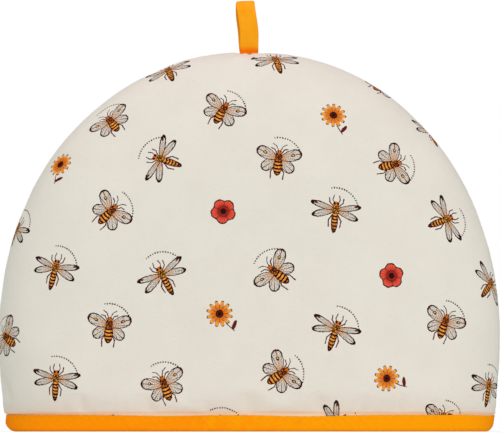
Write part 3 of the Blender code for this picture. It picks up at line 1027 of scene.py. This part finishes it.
class Recipe:
    """A node tree written down step by step."""

    def __init__(self, tree):
        self.tree = tree

    def node(self, kind, values=(), **settings):
        """Adds a node. Its values are numbers or other nodes' outputs, in order or by name."""
        node = self.tree.nodes.new("ShaderNode" + kind)
        for name, value in settings.items():
            setattr(node, name, value)
        pairs = values.items() if isinstance(values, dict) else enumerate(values)
        for place, value in pairs:
            if isinstance(value, bpy.types.NodeSocket):
                self.plug(value, node, place)
            elif value is not None:
                node.inputs[place].default_value = value
        return node

    def plug(self, output, node, place):
        """Leads an output to a node's input."""
        self.tree.links.new(output, node.inputs[place])

    def math(self, operation, *values):
        return self.node("Math", values, operation=operation).outputs[0]

    def times(self, *values):
        return self.math("MULTIPLY", *values)

    def vector(self, operation, *values):
        return self.node("VectorMath", values, operation=operation).outputs[0]

    def length(self, vector):
        return self.node("VectorMath", (vector,), operation="LENGTH").outputs["Value"]

    def split(self, vector):
        outputs = self.node("SeparateXYZ", (vector,)).outputs
        return outputs[0], outputs[1]

    def join(self, x, y):
        return self.node("CombineXYZ", (x, y, 0.0)).outputs[0]

    def near(self, value, target, reach):
        """1 where a value is close to a target."""
        return self.math("COMPARE", value, target, reach)

    def below(self, value, limit):
        return self.math("LESS_THAN", value, limit)

    def above(self, value, limit):
        return self.math("GREATER_THAN", value, limit)

    def stripes(self, value, count, half_width):
        """1 on narrow stripes, a count of them for each unit of a value."""
        return self.near(self.math("FRACT", self.times(value, count)), 0.5, half_width)

    def from_middle(self, value, size):
        """A repeat's own place, from its middle, where the value counts the repeats."""
        return self.times(self.math("SUBTRACT", self.math("FRACT", value), 0.5), size)

    def ramp(self, value, low, high, at_low=0.0, at_high=1.0):
        """A soft change between two values."""
        values = (value, low, high, at_low, at_high)
        return self.node("MapRange", values, interpolation_type="SMOOTHSTEP").outputs[0]

    def mix(self, share, under, over):
        """One colour painted over another."""
        values = {0: share, 6: under, 7: over}
        return self.node("Mix", values, data_type="RGBA").outputs[2]

    def oval(self, place, centre, radii, turn=0.0):
        """A place as an oval measures it: its edge lies at length 1."""
        values = (place, (*centre, 0.0), (0.0, 0.0, math.radians(turn)), (*radii, 1.0))
        return self.node("Mapping", values, vector_type="TEXTURE").outputs[0]

    def noise(self, place, scale, detail=2.0, output=0):
        values = {"Vector": place, "Scale": scale, "Detail": detail}
        return self.node("TexNoise", values).outputs[output]

    def object_place(self):
        """The place in the cosy's own frame, in metres."""
        return self.node("TexCoord").outputs["Object"]

    def finish(self, shader, colour, height, depth, strength=1.0):
        """Gives a shader its colour, and a bump from a height."""
        self.plug(colour, shader, "Base Color")
        bump = self.node("Bump", {"Strength": strength, "Distance": depth, "Height": height})
        self.plug(bump.outputs[0], shader, "Normal")


# ---------------------------------------------------------------- the print's motifs

class Drawing(Recipe):
    """A motif that is painted step by step over the cloth, in millimetres of cloth."""

    def __init__(self, tree, cloth):
        super().__init__(tree)
        self.colour = cloth

    def paint(self, where, tone):
        self.colour = self.mix(where, self.colour, tone)

    def mirrored(self, place):
        """Folds a place over the middle line, so that left and right are drawn alike."""
        x, y = self.split(place)
        return self.join(self.math("ABSOLUTE", x), y)

    def net(self, place, cell):
        """1 on a fine net of pen lines, as of the small veins in a wing."""
        stretched = self.vector("DIVIDE", place, (*cell, 1.0))
        net = self.node("TexVoronoi", {"Vector": stretched, "Scale": 1.0}, voronoi_dimensions="2D",
                        feature="DISTANCE_TO_EDGE")
        return self.below(net.outputs["Distance"], NET_LINE)

    def hatch(self, place, spread):
        """1 on short uneven pen strokes that run along a body."""
        strokes = self.noise(self.vector("MULTIPLY", place, (*spread, 1.0)), 1.0)
        return self.above(strokes, STROKE_ABOVE)

    def line(self, place, points, half_width, tone):
        """A pen line from point to point."""
        for start, end in zip(points, points[1:]):
            way = Vector(end) - Vector(start)
            from_start = self.vector("SUBTRACT", place, (*start, 0.0))
            dot = self.node("VectorMath", (from_start, (*(way / way.length_squared), 0.0)),
                            operation="DOT_PRODUCT").outputs["Value"]
            share = self.node("Clamp", (dot, 0.0, 1.0)).outputs[0]
            values = {0: (*way, 0.0), "Scale": share}
            foot = self.node("VectorMath", values, operation="SCALE").outputs[0]
            off = self.length(self.vector("SUBTRACT", from_start, foot))
            self.paint(self.below(off, half_width), tone)

    def spot(self, place, centre, radii, tone, turn=0.0):
        """A plain oval spot."""
        self.paint(self.below(self.length(self.oval(place, centre, radii, turn)), 1.0), tone)

    def furry(self, place, hatch, centre, radii, ground, strokes):
        """A furry body part: one tone with pen strokes of another."""
        self.spot(place, centre, radii, self.mix(hatch, ground, strokes))

    def banded(self, place, hatch, centre, radii, bands):
        """A banded body, rounded by its shading and drawn over with pen strokes."""
        local = self.oval(place, centre, radii)
        level = self.length(local)
        x, y = self.split(local)
        bowed = self.math("MULTIPLY_ADD", self.times(x, x), -0.10, y)
        wave = self.math("SINE", self.times(bowed, bands * math.pi))
        tone = self.mix(self.ramp(level, 0.35, 1.0), BAND_ORANGE, DEEP_ORANGE)
        tone = self.mix(hatch, tone, MAROON)
        self.paint(self.below(level, 1.0), self.mix(self.above(wave, 0.0), tone, BROWN_BLACK))
        self.paint(self.near(level, 1.0, BODY_OUTLINE / radii[0]), BROWN_BLACK)

    def wing(self, place, net, centre, radii, turn, taper, tip):
        """A wing: an oval that widens to its tip, tinted at the root, with veins and a pen line."""
        x, y = self.split(self.oval(place, centre, radii, turn))
        y = self.math("DIVIDE", y, self.math("MULTIPLY_ADD", x, taper, 1.0))
        level = self.length(self.join(x, y))
        fan = self.math("DIVIDE", y, self.math("ADD", x, 1.4))
        vein = self.near(self.math("FRACT", self.math("MULTIPLY_ADD", fan, 2.5, 0.5)), 0.5, VEIN_LINE)
        tint = self.mix(self.ramp(x, -1.0, 0.2), WING_WARM, WING_PALE)
        tint = self.mix(self.ramp(x, 0.72, 1.0), tint, tip)
        tint = self.mix(net, tint, PEN_GREY)
        self.paint(self.below(level, 1.0), self.mix(vein, tint, BROWN_BLACK))
        self.paint(self.near(level, 1.0, WING_OUTLINE / min(radii)), BROWN_BLACK)

    def flower(self, place, petals, reach, notch):
        """A ring of petals: the distance from its middle, the angle counted in petals, how far
        off a petal's middle, and a level that is 1 at the petals' edge."""
        x, y = self.split(place)
        radius = self.length(place)
        angle = self.times(self.math("ARCTAN2", y, x), petals / (2.0 * math.pi))
        off = self.times(self.math("ABSOLUTE", self.from_middle(angle, 1.0)), 2.0)
        edge = self.ramp(off, 0.25, 1.0, reach, reach * (1.0 - notch))
        return radius, angle, off, self.math("DIVIDE", radius, edge)


def draw_moth(pen, place):
    """A moth from above, its head up: broad veined wings and a banded body."""
    half = pen.mirrored(place)
    pen.line(half, ((0.6, 6.4), (2.2, 9.6), (4.6, 11.0)), 0.28, BROWN_BLACK)
    pen.line(half, ((1.4, 4.2), (3.2, 7.4), (5.6, 8.0)), 0.36, MAROON)
    pen.line(half, ((0.8, -3.0), (4.4, -8.0), (4.0, -12.6)), 0.40, MAROON)
    net = pen.net(half, (1.5, 1.1))
    pen.wing(half, net, (5.6, -3.0), (5.8, 3.3), -38.0, 0.30, WING_PALE)
    pen.wing(half, net, (7.4, 3.6), (7.6, 3.5), 22.0, 0.34, DEEP_ORANGE)
    pen.spot(half, (9.2, 4.5), (1.35, 1.1), BROWN_BLACK, 22.0)
    pen.spot(half, (9.3, 4.6), (0.65, 0.6), BAND_ORANGE)
    hatch = pen.hatch(place, (2.2, 0.7))
    pen.banded(place, hatch, (0.0, -4.2), (2.9, 5.8), 5.0)
    pen.furry(place, hatch, (0.0, 2.4), (2.6, 2.8), BROWN_BLACK, DEEP_ORANGE)
    pen.furry(place, hatch, (0.0, 5.6), (1.5, 1.4), DEEP_ORANGE, BROWN_BLACK)
    pen.spot(half, (1.0, 6.1), (0.5, 0.6), BROWN_BLACK)


def draw_dragonfly(pen, place):
    """A dragonfly from above: four slender wings and a long banded body."""
    half = pen.mirrored(place)
    pen.line(half, ((1.4, 3.0), (4.4, 5.6), (4.8, 8.6)), 0.38, MAROON)
    pen.line(half, ((0.9, 4.4), (2.4, 7.6), (1.8, 10.4)), 0.32, BROWN_BLACK)
    pen.line(half, ((0.9, -1.0), (4.2, -6.2), (3.8, -10.4)), 0.40, MAROON)
    net = pen.net(half, (1.3, 0.8))
    pen.wing(half, net, (7.6, -1.6), (7.4, 2.1), -18.0, 0.22, WING_PALE)
    pen.wing(half, net, (8.2, 2.8), (7.8, 1.8), 13.0, 0.22, WING_PALE)
    pen.spot(half, (13.4, 4.5), (1.2, 0.5), MAROON, 13.0)
    hatch = pen.hatch(place, (2.4, 0.6))
    pen.banded(place, hatch, (0.0, -6.2), (2.1, 7.6), 7.0)
    pen.furry(place, hatch, (0.0, 1.4), (2.5, 3.1), BROWN_BLACK, BAND_ORANGE)
    pen.spot(place, (0.0, 4.9), (2.1, 1.5), DEEP_ORANGE)
    pen.spot(half, (1.25, 5.1), (0.85, 0.95), BROWN_BLACK)


def draw_daisy(pen, place):
    """An orange daisy on a short stem with a leaf."""
    pen.line(place, ((0.0, 0.0), (0.9, -9.0), (2.8, -14.5)), 0.32, MAROON)
    pen.spot(place, (4.6, -11.2), (3.4, 1.2), MAROON, 38.0)
    radius, angle, off, level = pen.flower(place, 12.0, 8.4, 0.34)
    tone = pen.mix(pen.ramp(radius, 3.0, 8.0), DEEP_ORANGE, BAND_ORANGE)
    tone = pen.mix(pen.stripes(angle, 3.0, 0.08), tone, DEEP_ORANGE)
    pen.paint(pen.below(level, 1.0), pen.mix(pen.above(off, 0.90), tone, BROWN_BLACK))
    pen.paint(pen.near(level, 1.0, 0.035), BROWN_BLACK)
    pen.paint(pen.below(radius, 2.6), BROWN_BLACK)
    pen.paint(pen.near(radius, 1.7, 0.35), MAROON)


def draw_poppy(pen, place):
    """A red poppy with a dark middle and a ring of dots."""
    radius, angle, off, level = pen.flower(place, 5.0, 8.0, 0.16)
    tone = pen.mix(pen.ramp(radius, 2.4, 6.5), POPPY_DARK, POPPY_RED)
    tone = pen.mix(pen.stripes(angle, 5.0, 0.06), tone, POPPY_DARK)
    pen.paint(pen.below(level, 1.0), pen.mix(pen.above(off, 0.95), tone, BROWN_BLACK))
    pen.paint(pen.near(level, 1.0, 0.05), BROWN_BLACK)
    pen.paint(pen.times(pen.near(radius, 3.4, 0.45), pen.stripes(angle, 3.0, 0.2)), BROWN_BLACK)
    pen.paint(pen.below(radius, 2.0), BROWN_BLACK)


def motif(name, draw):
    """A motif as a node group: from a place in millimetres and the cloth's colour to a colour."""
    tree = bpy.data.node_groups.new(name, "ShaderNodeTree")
    tree.interface.new_socket("Place", in_out="INPUT", socket_type="NodeSocketVector")
    tree.interface.new_socket("Cloth", in_out="INPUT", socket_type="NodeSocketColor")
    tree.interface.new_socket("Ink", in_out="OUTPUT", socket_type="NodeSocketColor")
    start = tree.nodes.new("NodeGroupInput")
    end = tree.nodes.new("NodeGroupOutput")
    pen = Drawing(tree, start.outputs["Cloth"])
    draw(pen, start.outputs["Place"])
    pen.plug(pen.colour, end, "Ink")
    return tree


# ---------------------------------------------------------------- materials

def new_material(name, roughness, specular, sheen=0.0, sheen_tint=WHITE):
    """A finish: the material, its shader, and a recipe to go on with."""
    material = bpy.data.materials.new(name)
    material.use_nodes = True
    shader = material.node_tree.nodes["Principled BSDF"]
    shader.inputs["Roughness"].default_value = roughness
    shader.inputs["Specular IOR Level"].default_value = specular
    shader.inputs["Sheen Weight"].default_value = sheen
    shader.inputs["Sheen Tint"].default_value = sheen_tint
    return material, shader, Recipe(material.node_tree)


def cloth_place(recipe):
    """The place on the flat cloth, in millimetres."""
    return recipe.node("UVMap", uv_map="cloth").outputs[0]


def weave(recipe, place, pitch):
    """Height of a plain weave: threads over and under each other, a little uneven."""
    turns = 2.0 * math.pi / pitch
    across, along = (recipe.math("SINE", recipe.times(way, turns)) for way in recipe.split(place))
    slub = recipe.noise(place, 1.1, 3.0)
    return recipe.math("MULTIPLY_ADD", slub, 1.6, recipe.times(across, along))


def cream(recipe, place):
    """Undyed cream cotton, very slightly uneven."""
    cloudy = recipe.noise(place, 0.035, 3.0)
    colour = recipe.mix(recipe.ramp(cloudy, 0.3, 0.7), CREAM, CREAM_CLOUD)
    thread = recipe.noise(recipe.vector("MULTIPLY", place, (0.25, 3.0, 1.0)), 1.0)
    return recipe.mix(recipe.ramp(thread, 0.55, 0.8), colour, CREAM_THREAD)


def painted_binding_bounce(recipe, colour):
    """Paints orange bounce light from the binding on the cloth just above it, by height."""
    height = recipe.node("SeparateXYZ", (recipe.object_place(),)).outputs["Z"]
    return recipe.mix(recipe.ramp(height, PAINTED_BOUNCE["from"], PAINTED_BOUNCE["to"], PAINTED_BOUNCE["strength"], 0.0),
                      colour, PAINTED_BOUNCE["colour"])


CELL = (37.5, 72.0)            # millimetres of cloth for each motif
STRAY = (4.0, 13.0, 0.0)       # the room that a motif has to lie off its cell's middle
TURN = 2.6                     # and to be turned, in radians
UNSTEADY = (0.9, 0.9, 0.0)     # how far the pen wanders
MIDDLE = (0.5, 0.5, 0.5)       # what chance and noise come to in the mean
TRAIL = {"radius": 15.6, "half_width": 0.48, "middle": 1.1, "half_turn": 0.75,
         "dots": 9.0, "half_dot": 0.27}


def dotted_trail(recipe, place, kind):
    """1 on a dotted trail that curls round one side of each moth and dragonfly."""
    x, y = recipe.split(place)
    angle = recipe.math("ARCTAN2", y, x)
    ring = recipe.near(recipe.length(place), TRAIL["radius"], TRAIL["half_width"])
    mark = recipe.times(recipe.stripes(angle, TRAIL["dots"], TRAIL["half_dot"]), ring)
    mark = recipe.times(mark, recipe.near(angle, TRAIL["middle"], TRAIL["half_turn"]))
    return recipe.times(mark, recipe.below(kind, 1.5))


def print_layout(recipe, place):
    """The place within one motif of the print, and the motif's number, from 0 to 7."""
    x, y = recipe.split(place)
    across = recipe.math("DIVIDE", x, CELL[0])
    column = recipe.math("FLOOR", across)
    drop = recipe.times(recipe.math("FLOORED_MODULO", column, 2.0), 0.5)
    rise = recipe.math("ADD", recipe.math("DIVIDE", y, CELL[1]), drop)
    row = recipe.math("FLOOR", rise)
    chance = recipe.node("TexWhiteNoise", (recipe.join(column, row),), noise_dimensions="2D").outputs
    stray = recipe.vector("MULTIPLY", recipe.vector("SUBTRACT", chance["Color"], MIDDLE), STRAY)
    in_cell = recipe.join(recipe.from_middle(across, CELL[0]), recipe.from_middle(rise, CELL[1]))
    turn = recipe.times(recipe.math("SUBTRACT", chance["Value"], 0.5), TURN)
    values = {"Vector": recipe.vector("SUBTRACT", in_cell, stray), "Angle": turn}
    turned = recipe.node("VectorRotate", values, rotation_type="Z_AXIS").outputs[0]
    wander = recipe.vector("SUBTRACT", recipe.noise(place, 0.9, output="Color"), MIDDLE)
    drawn = recipe.vector("MULTIPLY_ADD", wander, UNSTEADY, turned)
    number = recipe.math("FLOORED_MODULO", recipe.math("MULTIPLY_ADD", row, 3.0, column), 8.0)
    return drawn, number


def printed_cotton():
    """Cream cotton, printed all over with small moths, dragonflies, daisies and poppies."""
    material, shader, recipe = new_material("printed_cotton", 0.88, 0.05)
    place = cloth_place(recipe)
    # the cream cloth, with painted orange bounce light just above the binding
    ground = painted_binding_bounce(recipe, cream(recipe, place))
    drawn, number = print_layout(recipe, place)
    kind = recipe.math("MODULO", number, 3.0)
    motifs = (
        ("moth", draw_moth, kind, 0.0),
        ("dragonfly", draw_dragonfly, kind, 1.0),
        ("daisy", draw_daisy, number, 2.0),
        ("poppy", draw_poppy, number, 5.0),
    )
    colour = ground
    for name, draw, counted, its_count in motifs:
        group = recipe.node("Group", node_tree=motif(name, draw))
        recipe.plug(drawn, group, "Place")
        recipe.plug(ground, group, "Cloth")
        colour = recipe.mix(recipe.near(counted, its_count, 0.5), colour, group.outputs["Ink"])
    colour = recipe.mix(dotted_trail(recipe, drawn, kind), colour, BROWN_BLACK)
    recipe.finish(shader, colour, weave(recipe, place, COTTON_PITCH), COTTON_DEPTH)
    return material


def plain_cotton():
    """The plain cream cotton inside the cosy."""
    material, shader, recipe = new_material("plain_cotton", 0.9, 0.2, 0.1, CREAM_SHEEN)
    place = cloth_place(recipe)
    recipe.finish(shader, cream(recipe, place), weave(recipe, place, COTTON_PITCH), COTTON_DEPTH)
    return material


def dyed_cotton(name, roughness, sheen, tones, painted_shade_ends=None, once_round=None):
    """Dyed cotton, cut on the bias. It may have painted shade at its ends, where they go into a seam,
    or be paler on one side.
    """
    material, shader, recipe = new_material(name, roughness, 0.03, sheen, ORANGE_SHEEN)
    place = cloth_place(recipe)
    on_bias = recipe.node("Mapping", (place, None, (0.0, 0.0, math.radians(45.0)))).outputs[0]
    cloudy = recipe.noise(place, 0.12, 4.0)
    along, _ = recipe.split(place)
    if once_round:
        turn = recipe.math("MULTIPLY_ADD", along, 2.0 * math.pi / once_round, PALER_SIDE["turn"])
        cloudy = recipe.math("MULTIPLY_ADD", recipe.math("SINE", turn), -PALER_SIDE["by"], cloudy)
        cloudy = recipe.math("ADD", cloudy, PALER_SIDE["less"])
    colour = recipe.mix(recipe.ramp(cloudy, 0.35, 0.75), *tones)
    # painted shade, darker and redder, near the tape's ends where they go into the seam
    if painted_shade_ends:
        from_middle = recipe.math("ABSOLUTE", along)
        colour = recipe.mix(recipe.ramp(from_middle, *painted_shade_ends), colour, TAPE_PAINTED_SHADE)
    recipe.finish(shader, colour, weave(recipe, on_bias, DYED_PITCH), DYED_DEPTH)
    return material


def thread_material(name, tones):
    """Twisted sewing thread."""
    material, shader, recipe = new_material(name, 0.8, 0.1)
    twist = recipe.noise(recipe.object_place(), 2600.0, 1.0)
    colour = recipe.mix(recipe.ramp(twist, 0.35, 0.65), *tones)
    recipe.finish(shader, colour, twist, 0.05 * MM, strength=0.6)
    return material


def floor_material():
    """Matt pale card."""
    material, shader, recipe = new_material("pale_card", 0.95, 0.1)
    grain = recipe.noise(recipe.object_place(), 90.0)
    recipe.plug(recipe.mix(grain, *CARD_TONES), shader, "Base Color")
    return material


# ---------------------------------------------------------------- the whole cosy

def main():
    """Builds the studio and the cosy."""
    add_camera()
    add_studio()
    add_floor()
    cotton = [printed_cotton(), plain_cotton()]
    add_cover("front_cover", "front_panel", FRONT, FRONT_DENTS, cotton)
    add_cover("back_cover", "back_panel", BACK, BACK_DENTS, cotton)
    add_hem_strip(dyed_cotton("orange_binding", 0.75, 0.7, BINDING_TONES,
                              once_round=hem_length() / MM))
    add_hem_stitches(thread_material("orange_thread", HEM_THREAD_TONES))
    # the tape's ends get painted shade where they go into the seam
    add_loop(dyed_cotton("orange_tape", 0.7, 0.0, TAPE_TONES, painted_shade_ends=(33.5, 37.5)))
    add_loop_stitches(thread_material("loop_thread", LOOP_THREAD_TONES))


main()
